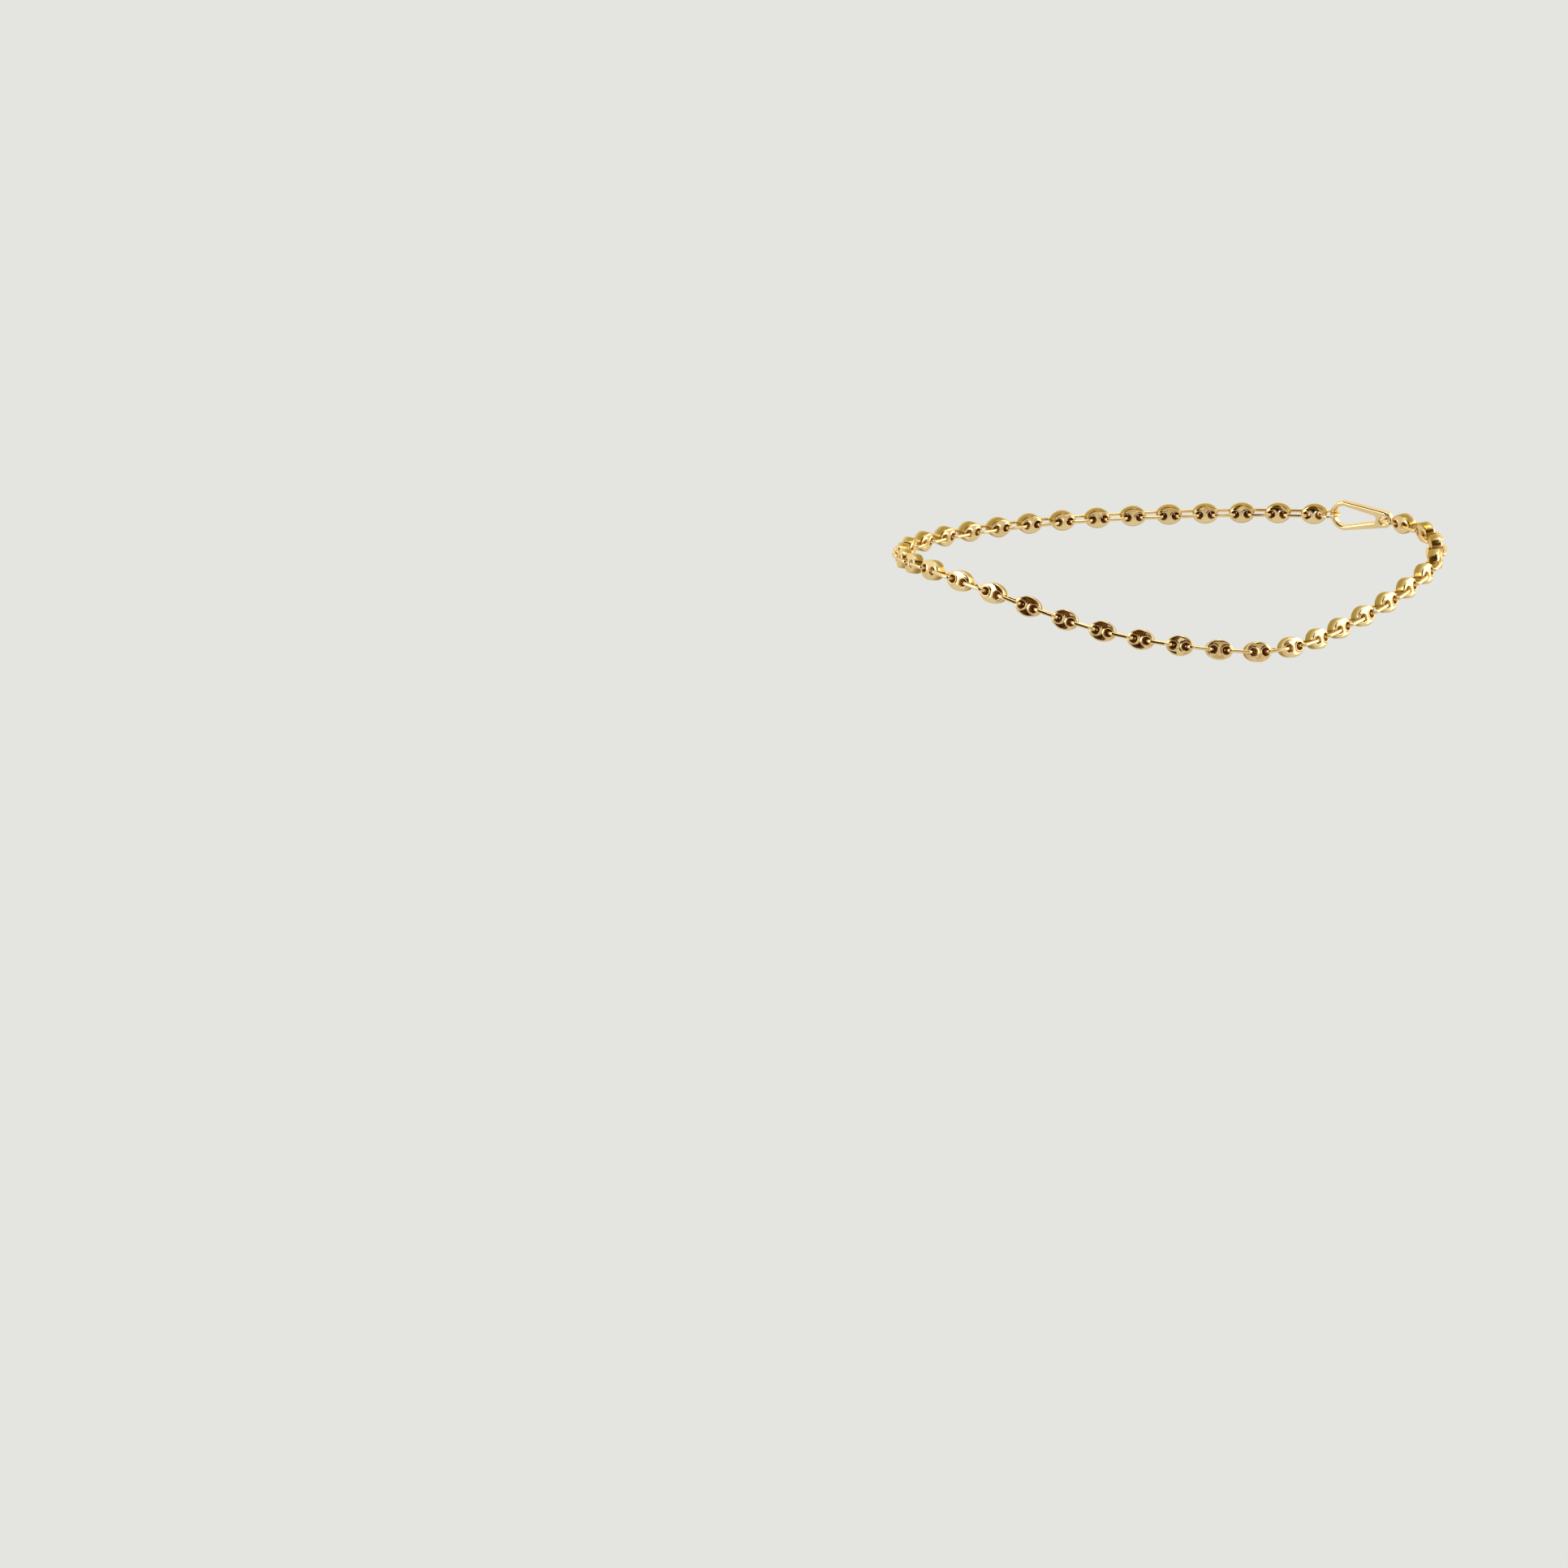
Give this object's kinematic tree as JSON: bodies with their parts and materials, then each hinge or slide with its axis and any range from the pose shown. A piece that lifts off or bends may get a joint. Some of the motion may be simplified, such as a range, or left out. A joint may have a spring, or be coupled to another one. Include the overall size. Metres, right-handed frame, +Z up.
{
  "type": "anklet",
  "caption": "Fine gold-coloured ankle chain of puffed oval two-hole links joined by wire links, closed by a plain clasp, shown in its worn loop.",
  "frame": {"origin": "middle of the ankle that the loop goes round, at the middle of the loop's height", "axes": "+Z up along the leg, -Y to the side that the picture shows, +X to the right of that side"},
  "size_m": [0.0889, 0.067, 0.0164],
  "materials": {
    "polished_gold": "mirror-polished yellow gold",
    "ring_gold": "polished yellow gold wire",
    "clasp_gold": "polished yellow gold"
  },
  "bodies": {
    "root": {"chain_front": "polished_gold", "chain_back": "polished_gold", "jump_ring": "ring_gold", "end_ring": "ring_gold", "clasp": "clasp_gold"}
  },
  "joints": []
}
